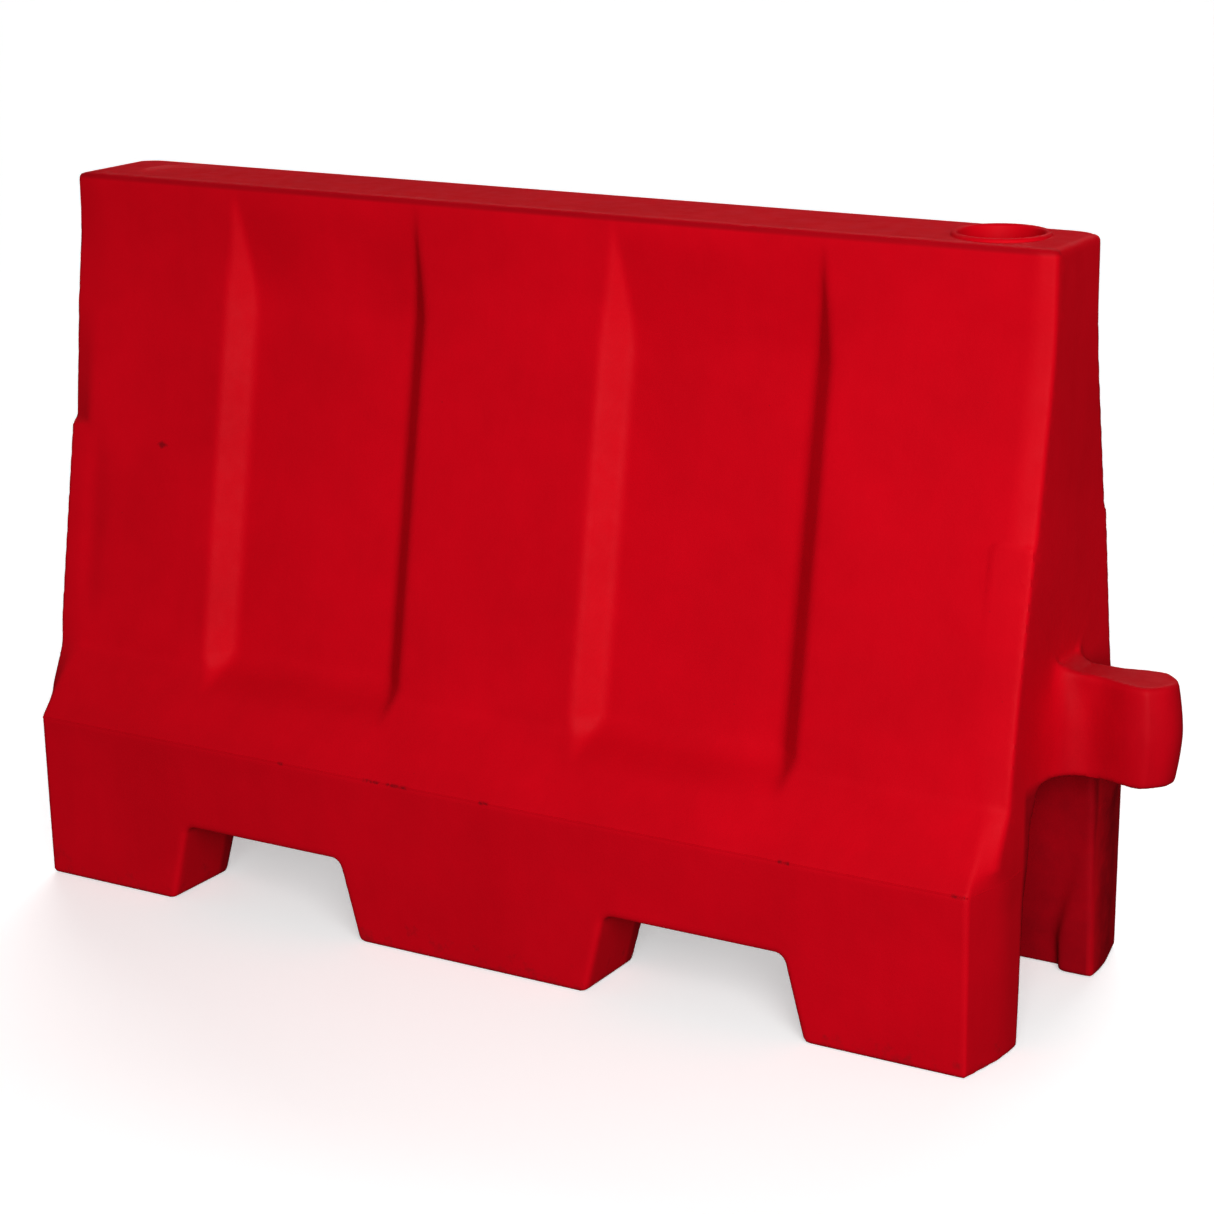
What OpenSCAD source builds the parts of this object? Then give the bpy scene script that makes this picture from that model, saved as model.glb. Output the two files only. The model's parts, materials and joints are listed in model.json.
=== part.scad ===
// Water filled road barrier: a hollow moulded body on three pairs of feet, with a filling well,
// a drain, and a coupling lug that drops into the socket of the next barrier in a row.
// The length runs along X, the lug points to +X, the front is -Y, and the feet stand on Z = 0.
// The origin is below the middle of the whole length, lug included.

/* [Body] */
// Length between the two end faces
body_l = 1486; // [1200:1:1800]
// Height from the floor to the top face
body_h = 1000; // [840:1:1200]
// Width of the plinth over its widest line
body_w = 498; // [470:1:600]
// Width of the top face
top_w = 150; // [148:1:180]
// Wall thickness of the moulding
wall = 4; // [4:0.5:6]
// Height of the upright band below the top face
band_h = 130; // [120:1:150]
// Height of the widest line of the plinth
plinth_h = 240; // [225:1:250]
// Height of the shoulder where the sloping sides begin
shoulder_h = 330; // [325:1:345]
// Width across the two shoulders
shoulder_w = 352; // [340:1:380]
// Draft of each plinth side between its widest line and the floor
plinth_draft = 4; // [2:1:8]
// Length of the chamfer on each upright corner
corner_l = 24; // [16:1:30]
// Depth of the chamfer on each upright corner
corner_d = 10; // [6:1:14]

/* [Feet and tunnel] */
// Distance from the middle of the body to the middle of a fork slot
fork_x = 342; // [330:1:360]
// Length of a fork slot at the floor
fork_l = 320; // [280:1:330]
// Height of a fork slot
fork_h = 113; // [95:1:130]
// Lean of each side of a fork slot
fork_lean = 29; // [20:1:34]
// Width of the tunnel at the floor
tunnel_w = 242; // [220:1:250]
// Height of the tunnel
tunnel_h = 338; // [325:1:345]

/* [Panels] */
// Length of a recessed panel between its two upper edges
panel_l = 331; // [280:1:360]
// Depth of a recessed panel
panel_d = 28; // [20:1:32]
// Distance between the middles of the two recessed panels
panel_pitch = 606; // [590:1:640]
// Distance of the pair of panels from the middle, towards the socket
panel_shift = 15; // [0:1:20]
// Length of the sloping side of a recessed panel
panel_slope = 34; // [28:1:40]
// Height of the upper edge of a recessed panel's ramp, below the top face
panel_drop = 20; // [15:1:40]
// Height of the ramp at the upper end of a recessed panel
panel_ramp = 140; // [120:1:160]

/* [Coupling] */
// Height of the lug
lug_h = 131; // [110:1:140]
// Depth of the lug's underside below the tunnel's roof
lug_drop = 3; // [0:1:6]
// Diameter of the lug's knuckle at its middle
knuckle_d = 84; // [76:1:88]
// Distance from the end face to the middle of the knuckle
lug_reach = 110; // [104:1:120]
// Width of the lug's neck
neck_w = 46; // [40:1:50]
// Play around the knuckle in the socket
socket_play = 8; // [6:1:11]
// Room above the lug in the socket
socket_head = 16; // [12:1:40]
// Play beside the neck in the socket's slot
slot_play = 7; // [5:1:9]
// Gap between the end faces of two coupled barriers
joint_gap = 12; // [6:1:16]
// Height of the step on the socket's end face
step_z = 650; // [600:1:700]
// Depth of the step on the socket's end face
step_d = 7; // [4:1:10]

/* [Filler] */
// Distance from the lug's end face to the middle of the filling well
well_inset = 102; // [95:1:140]
// Play around the neck's flange at the floor of the filling well
well_play = 2; // [1:0.5:4]
// Depth of the filling well
well_depth = 50; // [44:1:60]
// Height of the rolled lip around the well
lip_h = 5; // [3:1:7]
// Diameter of the threaded bore of the filling neck
neck_bore_d = 68; // [60:1:70]
// Wall thickness of the filling neck
neck_wall = 5; // [4:0.5:6]
// Length of the filling neck
neck_l = 30; // [26:1:36]
// Rise of the cap for each turn
cap_pitch = 6; // [4:1:6]
// Turns that the cap makes before it comes free
cap_turns = 2.5; // [1.5:0.5:2.5]

/* [Drain] */
// Height of the drain above the floor
drain_z = 72; // [68:1:90]
// Finger room around the bush's flange in the drain pocket
pocket_play = 12; // [11:1:18]
// Depth that the drain pocket has beyond the plug's bars
pocket_margin = 5; // [3:1:9]
// Diameter of the threaded bore of the drain bush
drain_bore_d = 34; // [28:1:36]
// Length of the drain bush
bush_l = 24; // [20:1:30]
// Travel of the plug for each turn
plug_pitch = 4; // [3:0.5:4]
// Turns that the plug makes before it comes free
plug_turns = 2.5; // [1.5:0.5:2.5]

/* [Fits] */
// Radial clearance between a thread and its bore
fit = 0.08; // [0.02:0.01:0.1]
// Thickness of the gaskets
seal_t = 3; // [2:0.5:4]
// Gap left where one piece turns over another
seat_gap = 0.3; // [0.2:0.1:0.4]

/* [Hidden] */
$fn = 96;
barrier_red = "#c40a18";
fitting_red = "#d81424";
seal_black = "#202020";
eps = 0.5;
over = 20;

end_x = body_l / 2;
band_z = body_h - band_h;
band_draft = 2;
plinth_taper = 79;

// Filler: the well's floor and the levels of the neck's flange, the gasket and the cap's flange
well_x = end_x - well_inset;
well_taper = 6;
well_floor_z = body_h - well_depth;
flange_t = 4;
neck_od = neck_bore_d + 2 * neck_wall;
neck_flange_d = neck_od + 18;
well_d = neck_flange_d + 2 * well_play + well_taper;
neck_top_z = well_floor_z + flange_t;
cap_z = neck_top_z + seal_t;
cap_flange_t = 9;
cap_d = neck_flange_d - 2;
cap_hold = 3;
cap_skirt_l = cap_turns * cap_pitch + cap_hold;
cap_bar_h = 12;
cap_bar_w = 12;
cap_wall = 4;

// Drain: the pocket's floor and the levels of the bush, the gasket and the plug along Y
drain_x = 0;
side_y = body_w / 2;
bush_wall = 4;
bush_od = drain_bore_d + 2 * bush_wall;
bush_flange_d = bush_od + 14;
plug_flange_t = 6;
plug_flange_d = bush_flange_d - 2;
plug_hold = 6;
plug_shank_l = plug_turns * plug_pitch + plug_hold;
plug_bar_h = 8;
plug_bar_w = 8;
plug_wall = 4;
pocket_taper = 4;
pocket_d = bush_flange_d + 2 * pocket_play + pocket_taper;
pocket_depth = flange_t + seal_t + plug_flange_t + plug_bar_h + pocket_margin;
pocket_y = side_y - pocket_depth;
bush_y = pocket_y + flange_t;
plug_y = bush_y + seal_t;

// Places of the coupling
knuckle_x = end_x + lug_reach;
lug_z = tunnel_h - lug_drop;
socket_x = -end_x - step_d - joint_gap + lug_reach;
socket_d = knuckle_d + 2 * socket_play;
socket_top = lug_z + lug_h + socket_head;
slot_w = neck_w + 2 * slot_play;
knuckle_round = 8;
flare_w = 124;
origin_x = (knuckle_x + knuckle_d / 2 - end_x - step_d) / 2;

// Lamp seat: a shallow round dish that mirrors the well
dish_x = -(end_x - 118);
dish_d = 104;
dish_depth = 3;

// Half width of the body at a height
function half_w(z) = lookup(z, [
    [0, body_w / 2 - plinth_draft],
    [plinth_h, body_w / 2],
    [shoulder_h, shoulder_w / 2],
    [band_z, top_w / 2 + band_draft],
    [body_h, top_w / 2]
]);

// Solid between stacked outlines that have the same number of points
module loft(rings) {
    n = len(rings[0]);
    m = len(rings);
    points = [for (ring = rings) for (p = ring) p];
    sides = [
        for (r = [0:m - 2]) for (i = [0:n - 1]) for (half = [0, 1])
            half == 0
                ? [r * n + i, (r + 1) * n + i, r * n + (i + 1) % n]
                : [r * n + (i + 1) % n, (r + 1) * n + i, (r + 1) * n + (i + 1) % n]
    ];
    first = [for (i = [0:n - 1]) i];
    last = [for (i = [n - 1:-1:0]) (m - 1) * n + i];
    polyhedron(points = points, faces = concat([first], sides, [last]));
}

// Upright cross-section of the body at a distance x, drawn in by skin and by the corner's depth
function section(x, skin, inset, low_inset) =
    let (z = [0, plinth_h, shoulder_h, band_z, body_h])
    let (cut = [low_inset, low_inset, inset, inset, inset])
    let (zs = [skin, plinth_h, shoulder_h, band_z, body_h - skin])
    concat(
        [for (i = [0:4]) [x, half_w(z[i]) - skin - cut[i], zs[i]]],
        [for (i = [4:-1:0]) [x, -(half_w(z[i]) - skin - cut[i]), zs[i]]]
    );

// The body's block, with its corners chamfered and its ends bowed, trimmed flat at both ends
module block(skin) {
    reach = corner_l / 2;
    grow = (corner_l + reach) / corner_l;
    bow = grow * plinth_taper;
    x_tip = end_x - skin + reach;
    x_full = end_x - skin - corner_l;
    intersection() {
        loft([
            section(-x_tip, skin, grow * corner_d, bow),
            section(-x_full, skin, 0, 0),
            section(x_full, skin, 0, 0),
            section(x_tip, skin, grow * corner_d, bow)
        ]);
        translate([skin - end_x, -body_w, -over])
            cube([body_l - 2 * skin, 2 * body_w, body_h + 2 * over]);
    }
}

// One recessed panel in the front: a cut with sloping sides, ramped at both ends
module panel_cut(skin) {
    out = 30;
    z_top = body_h - panel_drop;
    z_full = z_top - panel_ramp;
    z_low = shoulder_h + 13;
    z_foot = shoulder_h - 23;
    depth = panel_d + skin;
    rise = panel_slope / panel_d;
    ring = function (z, share)
        let (lip = (1 - share) * panel_slope / 2)
        let (edge = panel_l / 2 - lip + skin)
        let (floor_x = edge - share * panel_slope)
        let (floor_y = -(half_w(z) - (share > 0 ? depth : skin)))
        let (wide = edge + rise * out)
        [
            [-wide, -(half_w(z) + out), z],
            [wide, -(half_w(z) + out), z],
            [floor_x, floor_y, z],
            [-floor_x, floor_y, z]
        ];
    loft([ring(z_foot - skin, 0), ring(z_low, 1), ring(z_full, 1), ring(z_top + skin, 0)]);
}

module panels(skin) {
    for (side = [0, 180], x = [-panel_pitch / 2, panel_pitch / 2])
        translate([x - panel_shift, 0, 0])
            rotate([0, 0, side])
                panel_cut(skin);
}

// The tunnel below the body, in which the fork slots and the socket open
module tunnel(skin) {
    w = tunnel_w / 2 + skin;
    h = tunnel_h + skin;
    corner = 44;
    rotate([90, 0, 90])
        linear_extrude(height = 2 * body_l, center = true)
            polygon([
                [-w, -over], [-w, 0], [-w + 9, 180], [-w + 21, h - corner - 9],
                [-w + 21 + corner * 0.3, h - corner * 0.3], [-w + 21 + corner, h],
                [w - 21 - corner, h], [w - 21 - corner * 0.3, h - corner * 0.3],
                [w - 21, h - corner - 9], [w - 9, 180], [w, 0], [w, -over]
            ]);
}

// The slots for the forks of a truck, through both rows of feet
module fork_slots(skin) {
    low = fork_l / 2 + skin;
    high = low - fork_lean;
    for (x = [-fork_x, fork_x])
        translate([x, 0, 0])
            rotate([90, 0, 0])
                linear_extrude(height = 2 * body_w, center = true)
                    polygon([
                        [-low, -over], [-low, 0], [-high, fork_h + skin],
                        [high, fork_h + skin], [low, 0], [low, -over]
                    ]);
}

// The keyhole that takes the lug of the next barrier, entered from the tunnel
module socket(skin) {
    top = socket_top + skin;
    base = tunnel_h - over;
    translate([socket_x, 0, base])
        cylinder(d = socket_d + 2 * skin, h = top - base);
    translate([-end_x - over, -slot_w / 2 - skin, base])
        cube([socket_x + end_x + over, slot_w + 2 * skin, top - base]);
}

// The thicker lower part of the socket's end, whose top makes a step
module end_collar(skin) {
    rim = skin + eps;
    half = [
        [half_w(0) - plinth_taper - rim, skin], [half_w(plinth_h) - plinth_taper - rim, plinth_h],
        [half_w(shoulder_h) - corner_d - rim, shoulder_h],
        [half_w(step_z) - corner_d - rim, step_z - skin]
    ];
    mirrored = [for (i = [3:-1:0]) [-half[i][0], half[i][1]]];
    translate([-end_x - step_d + skin, 0, 0])
        rotate([90, 0, 90])
            linear_extrude(height = step_d + wall)
                polygon(concat(half, mirrored));
}

// The lug: a barrelled knuckle on a neck that flares into the end face
module lug(skin) {
    r = knuckle_d / 2 - skin;
    z0 = skin;
    z1 = lug_h - skin;
    edge = knuckle_round;
    neck = neck_w / 2 - skin;
    flare = flare_w / 2 - skin;
    x_in = end_x - 4 * wall;
    translate([knuckle_x, 0, lug_z])
        rotate_extrude()
            polygon([
                [0, z0], [r - edge, z0], [r - 2, z0 + edge], [r, (z0 + z1) / 2],
                [r - 2, z1 - edge], [r - edge, z1], [0, z1]
            ]);
    translate([0, 0, lug_z + z0])
        linear_extrude(height = z1 - z0)
            polygon([
                [x_in, -flare], [end_x - skin, -flare], [end_x + 12 - skin, -neck - 14],
                [end_x + 30 - skin, -neck], [knuckle_x, -neck], [knuckle_x, neck],
                [end_x + 30 - skin, neck], [end_x + 12 - skin, neck + 14],
                [end_x - skin, flare], [x_in, flare]
            ]);
}

// The filling well and its rolled lip
module well(skin) {
    top = body_h + lip_h + over;
    floor_z = well_floor_z - skin;
    translate([well_x, 0, floor_z])
        cylinder(
            d1 = well_d - well_taper + 2 * skin, d2 = well_d + 2 * skin, h = body_h - floor_z
        );
    translate([well_x, 0, body_h - eps])
        cylinder(d = well_d + 2 * skin, h = top - body_h);
}

module well_lip() {
    bead = 9;
    translate([well_x, 0, body_h - bead])
        rotate_extrude()
            polygon([
                [well_d / 2 - 2, 0], [well_d / 2 + bead + 1, 0], [well_d / 2 + bead, bead],
                [well_d / 2 + bead - 3, bead + lip_h - 1], [well_d / 2 + 4, bead + lip_h],
                [well_d / 2 - 2, bead + lip_h]
            ]);
}

// The shallow dish near the other end of the top
module dish(skin) {
    if (skin == 0)
        translate([dish_x, 0, body_h - dish_depth])
            cylinder(d1 = dish_d - 8, d2 = dish_d, h = dish_depth + eps);
    else
        translate([dish_x, 0, body_h - dish_depth - skin])
            cylinder(d = dish_d + 2 * skin, h = dish_depth + 2 * skin);
}

// The pocket that keeps the drain's plug inside the plinth
module drain_pocket(skin) {
    translate([drain_x, pocket_y - skin, drain_z])
        rotate([-90, 0, 0])
            cylinder(
                d1 = pocket_d - pocket_taper + 2 * skin, d2 = pocket_d + 2 * skin,
                h = pocket_depth + over
            );
}

// The whole form, drawn in by skin: the outside at skin 0, the cavity at skin wall
module form(skin) {
    difference() {
        union() {
            block(skin);
            end_collar(skin);
            lug(skin);
        }
        panels(skin);
        tunnel(skin);
        fork_slots(skin);
        socket(skin);
        well(skin);
        dish(skin);
        drain_pocket(skin);
    }
}

// Moves a piece from the middle of the body to the frame's origin
module placed() {
    translate([-origin_x, 0, 0])
        children();
}

module barrier_body() {
    color(barrier_red)
        placed() difference() {
            union() {
                form(0);
                difference() {
                    well_lip();
                    well(0);
                }
            }
            form(wall);
            translate([well_x, 0, well_floor_z - wall - eps])
                cylinder(d = neck_od, h = wall + 2 * eps);
            translate([drain_x, pocket_y - wall - eps, drain_z])
                rotate([-90, 0, 0])
                    cylinder(d = bush_od, h = wall + 2 * eps);
        }
}

// A flanged ring: the tube hangs below z = 0 and the flange stands on it
module flanged_ring(tube_d, bore_d, flange_d, tube_l) {
    difference() {
        union() {
            translate([0, 0, flange_t - tube_l])
                cylinder(d = tube_d, h = tube_l);
            cylinder(d = flange_d, h = flange_t);
        }
        translate([0, 0, -tube_l])
            cylinder(d = bore_d, h = 2 * tube_l);
    }
}

// A hollow screw closure: skirt below z = 0, flange above it, and a cross bar to turn it by
module closure(skirt_d, skirt_l, skirt_wall, flange_d, thick, bar_h, bar_w) {
    difference() {
        union() {
            translate([0, 0, -skirt_l])
                cylinder(d = skirt_d, h = skirt_l + eps);
            cylinder(d = flange_d, h = thick);
            for (turn = [0, 90])
                rotate([0, 0, turn])
                    translate([-flange_d * 0.4, -bar_w / 2, thick - eps])
                        cube([flange_d * 0.8, bar_w, bar_h + eps]);
        }
        translate([0, 0, -skirt_l - eps])
            cylinder(d = skirt_d - 2 * skirt_wall, h = skirt_l + eps + thick - skirt_wall);
    }
}

module gasket(outer_d, inner_d) {
    difference() {
        cylinder(d = outer_d, h = seal_t);
        translate([0, 0, -eps])
            cylinder(d = inner_d, h = seal_t + 2 * eps);
    }
}

module filler_neck() {
    color(fitting_red)
        placed() translate([well_x, 0, well_floor_z])
            flanged_ring(neck_od, neck_bore_d, neck_flange_d, neck_l);
}

module filler_cap() {
    color(fitting_red)
        placed() translate([well_x, 0, cap_z])
            closure(
                neck_bore_d - 2 * fit, cap_skirt_l, cap_wall, cap_d, cap_flange_t, cap_bar_h,
                cap_bar_w
            );
}

module filler_seal() {
    color(seal_black)
        placed() translate([well_x, 0, neck_top_z])
            gasket(cap_d - 4, neck_bore_d + 2 * seat_gap);
}

// Places a fitting drawn along +Z in the drain, where it points along +Y
module in_drain(y) {
    placed() translate([drain_x, y, drain_z])
        rotate([-90, 0, 0])
            children();
}

module drain_bush() {
    color(fitting_red)
        in_drain(pocket_y)
            flanged_ring(bush_od, drain_bore_d, bush_flange_d, bush_l);
}

module drain_plug() {
    color(fitting_red)
        in_drain(plug_y)
            closure(
                drain_bore_d - 2 * fit, plug_shank_l, plug_wall, plug_flange_d, plug_flange_t,
                plug_bar_h, plug_bar_w
            );
}

module drain_seal() {
    color(seal_black)
        in_drain(bush_y)
            gasket(plug_flange_d - 4, drain_bore_d + 2 * seat_gap);
}

barrier_body();
filler_neck();
filler_cap();
filler_seal();
drain_bush();
drain_plug();
drain_seal();
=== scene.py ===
"""Water filled road barrier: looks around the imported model. Metres, in the frame of the model.

The moulded body is a signed field, built from a filleted section, its ends, panels, slots,
tunnel, lug and socket. Its zero level is the outside, and the cavity is the same field less the
wall, with the well and the pocket left out. The screwed fittings are turned forms with threads.
"""

import json
import math

import bmesh
import bpy
import numpy as np
from mathutils import Matrix, Vector


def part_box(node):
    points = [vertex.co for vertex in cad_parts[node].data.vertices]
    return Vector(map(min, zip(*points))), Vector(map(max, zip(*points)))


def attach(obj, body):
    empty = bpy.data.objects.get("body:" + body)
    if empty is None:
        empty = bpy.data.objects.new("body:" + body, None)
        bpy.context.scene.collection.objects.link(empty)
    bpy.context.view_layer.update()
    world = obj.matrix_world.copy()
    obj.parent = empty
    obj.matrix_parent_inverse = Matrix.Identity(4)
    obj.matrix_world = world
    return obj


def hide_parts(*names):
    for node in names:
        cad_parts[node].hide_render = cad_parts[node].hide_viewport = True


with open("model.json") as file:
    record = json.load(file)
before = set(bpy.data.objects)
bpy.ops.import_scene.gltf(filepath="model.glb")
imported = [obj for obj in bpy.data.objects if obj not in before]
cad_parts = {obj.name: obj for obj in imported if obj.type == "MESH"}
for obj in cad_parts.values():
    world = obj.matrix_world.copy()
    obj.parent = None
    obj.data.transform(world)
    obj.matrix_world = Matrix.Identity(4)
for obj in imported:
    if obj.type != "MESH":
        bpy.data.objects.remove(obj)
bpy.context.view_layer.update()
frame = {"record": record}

# ---------------------------------------------------------------- places taken from the frame
record = frame["record"]
mounts = {mount["name"]: Vector(mount["pos_m"]) for mount in record["mounts"]}
turns = {
    joint["name"]: Vector(joint["pos_m"])
    for joint in record["behaviour"]["joints"] if joint["type"] == "hinge"
}
body_low, body_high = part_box("barrier_body")

WALL = 0.004
LUG_REACH = 0.110
STEP_DEPTH = 0.007
LIP_RISE = 0.005

KNUCKLE_X = mounts["lug"].x
SOCKET_X = mounts["socket"].x
HIGH_END = KNUCKLE_X - LUG_REACH
LOW_END = body_low.x + STEP_DEPTH
MIDDLE = (HIGH_END + LOW_END) / 2
HALF_L = (HIGH_END - LOW_END) / 2
HALF_W = (body_high.y - body_low.y) / 2
TOP = body_high.z - LIP_RISE
WELL = turns["filler_turn"]
DRAIN = turns["drain_turn"]
neck_low, neck_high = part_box("filler_neck")
cap_low, cap_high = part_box("filler_cap")
bush_low, bush_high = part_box("drain_bush")
plug_low, plug_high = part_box("drain_plug")
FLANGE = 0.004    # thickness of the flanges of the neck and the bush
WELL_FLOOR = neck_high.z - FLANGE
POCKET_Y = bush_high.y - FLANGE

# ---------------------------------------------------------------- sizes of the moulded body
PLINTH_H = 0.240
SHOULDER_H = 0.330
BAND_Z = TOP - 0.130
FOOT_HALF_W = HALF_W - 0.004
SHOULDER_HALF_W = 0.176
BAND_HALF_W = 0.077
TOP_HALF_W = 0.075

FORK_X = 0.342
FORK_HALF_L = 0.160
FORK_H = 0.114
FORK_LEAN = 0.029

TUNNEL_HALF_W = 0.121
TUNNEL_H = 0.338
# The hollows in the end feet: depth at the floor, loss with height, inner end, and mouth by height
HOLLOW_DEPTH = 0.020
HOLLOW_LEAN = 0.19
HOLLOW_X = 0.545
HOLLOW_MOUTH = ((0.05, 0.10, 0.13, 0.25), (0.691, 0.702, 0.711, 0.735))

PANEL_XS = (-0.318, 0.288)
PANEL_HALF_L = 0.1665
PANEL_DEPTH = 0.028
PANEL_SLOPE = 0.034
PANEL_TOP = TOP - 0.020
PANEL_RAMP = 0.140
PANEL_FOOT = 0.304
PANEL_LOW = 0.348

STEP_Z = 0.650
STEP_LOW = STEP_Z - 0.007
CORNER_DEPTH = 0.008
# Heights, and how far each end face stands past the half length there
SOCKET_END = (
    (0, 0.25, 0.33, STEP_LOW, STEP_Z, 0.74, 0.87, 0.91, 0.945, TOP),
    (0, 0, 0.008, 0.008, 0.014, 0.012, 0.011, 0.008, 0.006, 0.006),
)
LUG_END = ((0, 0.20, 0.24, 0.46, 0.62, TOP), (-0.001, -0.001, 0.001, -0.001, 0.001, 0.001))
# Heights, and how deep the chamfer of the upright corners is cut there
CORNER_HEIGHTS = (0, PLINTH_H, 0.262, 0.277, 0.307, 0.338, 0.375, STEP_LOW, STEP_Z)
CORNER_DEPTHS = (0.079, 0.073, 0.030, 0.022, 0.015, 0.0065, 0.004, 0.003)
LUG_CORNER = (CORNER_HEIGHTS + (TOP,), CORNER_DEPTHS + (CORNER_DEPTH, CORNER_DEPTH))
SOCKET_CORNER = (
    CORNER_HEIGHTS + (0.74, 0.82, TOP), CORNER_DEPTHS + (0.020, 0.011, 0.004, 0.004)
)
# Heights, and how far from the middle the chamfer starts there
CREST = (
    (0, PLINTH_H, SHOULDER_H, 0.44, 0.55, 0.66, 0.93, TOP),
    (0.7255, 0.7255, 0.718, 0.712, 0.712, 0.717, 0.719, 0.724),
)
CREST_X = CREST[1][0]
# The top sinks a little towards its ends, from this distance on
DROOP_X = 0.700
DROOP = 0.002
# The raised pad on the lug's corners, and the valley beside the socket's end
PAD_X = 0.686
PAD_ROUND = 0.014
PAD_RISE = 0.0024
PAD_EDGE = 0.006
PAD_FADE = ((0.52, 0.61), (0, 1))
VALLEY_X = -0.704
VALLEY_W = 0.022
VALLEY_DEPTH = 0.0035
VALLEY_FADE = ((0.36, 0.42, 0.60, 0.65), (0, 1, 1, 0))

LUG_LOW = 0.335
LUG_HIGH = 0.466
KNUCKLE_R = 0.042
NECK_HALF_W = 0.028
FLARE_HALF_W = 0.135
FLARE_OUT = 0.022
FLARE_POWER = 2.2
FLARE_FULL = 0.400
FLARE_TOP = 0.500
BARREL = 0.008    # how much thinner the knuckle is at its ends than at its middle
LUG_RISE = 0.004    # how much higher the neck is at the end face than at the knuckle

SOCKET_R = 0.050
SOCKET_TOP = TUNNEL_H + 0.144
SLOT_HALF_W = 0.030

DISH_X = -0.625
DISH_R = 0.052
DISH_DEPTH = 0.003

WELL_R = 0.053
WELL_TAPER = 0.003
LIP_BEAD = 0.009
POCKET_R = 0.042

# How far the flanges stand past their tubes, and how the gaskets lie between bore and flange
NECK_FLANGE_OUT = 0.009
BUSH_FLANGE_OUT = 0.007
SEAL_GAP = 0.0003
SEAL_INSET = 0.002

# The parting line, the thin bead on it, and the scuffs along its front: middle, half a length
BEAD_Z = PLINTH_H - 0.001
BEAD_OUT = 0.0004
SCUFFS = (
    (-0.301, 0.005), (-0.149, 0.016), (-0.106, 0.020), (0.031, 0.008), (0.476, 0.009),
    (0.713, 0.010),
)
# The knock on the front
SPOT_X = -0.582
SPOT_Z = 0.630

GRID = 0.005
OUTER_FACES = 150000
INNER_FACES = 26000


# ---------------------------------------------------------------- field helpers
def soft_max(a, b, blend):
    """Intersection of two fields with a rounded edge"""
    mix = np.clip(0.5 + 0.5 * (a - b) / blend, 0, 1)
    return b + (a - b) * mix + blend * mix * (1 - mix)


def soft_min(a, b, blend):
    """Union of two fields with a rounded inner corner"""
    return -soft_max(-a, -b, blend)


def cut(solid, hole, blend):
    """The solid without the hole, with a rounded rim"""
    return soft_max(solid, -hole, blend)


def smooth(share):
    """A share held between 0 and 1, which starts and ends level"""
    share = np.clip(share, 0, 1)
    return share * share * (3 - 2 * share)


def fillet(outline, radii, steps=7):
    """Closed outline with an arc of the given radius at each corner"""
    points = []
    count = len(outline)
    for i in range(count):
        here = np.array(outline[i], float)
        back = np.array(outline[i - 1], float) - here
        ahead = np.array(outline[(i + 1) % count], float) - here
        if radii[i] == 0:
            points.append(here)
            continue
        back /= np.linalg.norm(back)
        ahead /= np.linalg.norm(ahead)
        half = math.acos(np.clip(back @ ahead, -1, 1)) / 2
        centre = here + (back + ahead) / np.linalg.norm(back + ahead) * radii[i] / math.sin(half)
        first = here + back * radii[i] / math.tan(half) - centre
        last = here + ahead * radii[i] / math.tan(half) - centre
        turn = math.atan2(first[0] * last[1] - first[1] * last[0], first @ last)
        for k in range(steps + 1):
            a = turn * k / steps
            points.append(centre + [
                first[0] * math.cos(a) - first[1] * math.sin(a),
                first[0] * math.sin(a) + first[1] * math.cos(a),
            ])
    return np.array(points)


def outline_field(points, u, v):
    """Signed distance in the plane to a closed outline, negative inside"""
    best = np.full(np.broadcast(u, v).shape, 1e9)
    inside = np.zeros(best.shape, bool)
    for (u0, v0), (u1, v1) in zip(points, np.roll(points, -1, axis=0)):
        du, dv = u1 - u0, v1 - v0
        share = np.clip(((u - u0) * du + (v - v0) * dv) / (du * du + dv * dv), 0, 1)
        best = np.minimum(best, (u - u0 - share * du) ** 2 + (v - v0 - share * dv) ** 2)
        crosses = (v0 > v) != (v1 > v)
        if dv != 0:
            inside ^= crosses & (u < (v - v0) * du / dv + u0)
    return np.where(inside, -1, 1) * np.sqrt(best)


# ---------------------------------------------------------------- outlines of the moulded body
BEHIND = -0.3    # far side of the half outlines, past the plane that they are mirrored in
SECTION = fillet(
    [
        (FOOT_HALF_W, -0.1), (FOOT_HALF_W, 0), (HALF_W, PLINTH_H), (SHOULDER_HALF_W, SHOULDER_H),
        (BAND_HALF_W, BAND_Z), (TOP_HALF_W, TOP), (TOP_HALF_W, TOP + 0.1),
        (BEHIND, TOP + 0.1), (BEHIND, -0.1),
    ],
    [0, 0, 0.012, 0.030, 0.600, 0, 0, 0, 0],
)
TUNNEL = fillet(
    [
        (TUNNEL_HALF_W, -0.1), (TUNNEL_HALF_W, 0), (TUNNEL_HALF_W - 0.009, 0.180),
        (TUNNEL_HALF_W - 0.022, 0.290), (TUNNEL_HALF_W - 0.050, TUNNEL_H),
        (BEHIND, TUNNEL_H), (BEHIND, -0.1),
    ],
    [0, 0, 0, 0.040, 0.034, 0, 0],
)
FORK = fillet(
    [
        (FORK_HALF_L + 0.02, -0.1), (FORK_HALF_L, 0), (FORK_HALF_L - FORK_LEAN, FORK_H),
        (BEHIND, FORK_H), (BEHIND, -0.1),
    ],
    [0, 0, 0.016, 0, 0],
)


def half_width(z):
    """Half width of the section at a height"""
    return np.interp(z, SECTION[:-2, 1], SECTION[:-2, 0])


# ---------------------------------------------------------------- parts of the body's field
def end_distance(x, z):
    """How far each end face stands from the middle at a height"""
    return HALF_L + np.where(x > 0, np.interp(z, *LUG_END), np.interp(z, *SOCKET_END))


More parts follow.
